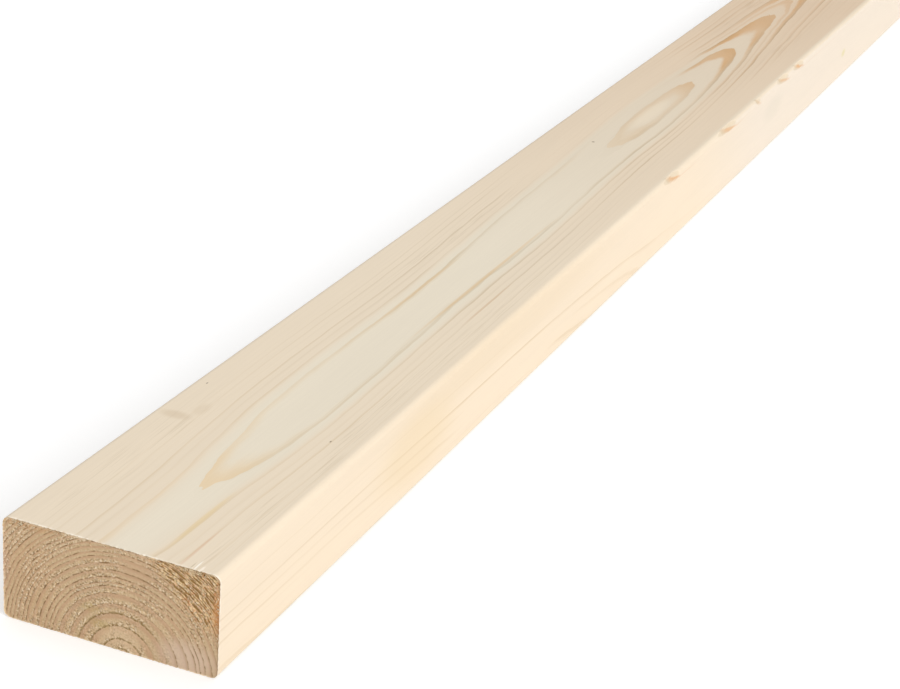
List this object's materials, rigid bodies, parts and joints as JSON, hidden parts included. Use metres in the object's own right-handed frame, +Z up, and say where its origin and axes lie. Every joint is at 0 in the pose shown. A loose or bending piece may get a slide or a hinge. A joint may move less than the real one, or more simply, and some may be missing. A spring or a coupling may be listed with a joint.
{
  "type": "timber lumber plank",
  "caption": "Straight planed softwood plank of rectangular section with eased long corners, square sawn ends, torn grain along one corner, lying flat.",
  "frame": {"origin": "middle of the wide face that the plank lies on", "axes": "+X across the width, towards the corner with the torn grain; +Y along the length, away from the end in the picture; +Z up through the thickness"},
  "size_m": [0.094, 2.4, 0.044],
  "materials": {
    "planed_softwood": "bare planed pine, pale cream with ochre growth rings, square ends rough from the saw"
  },
  "bodies": {
    "root": {"plank": "planed_softwood"}
  },
  "joints": []
}
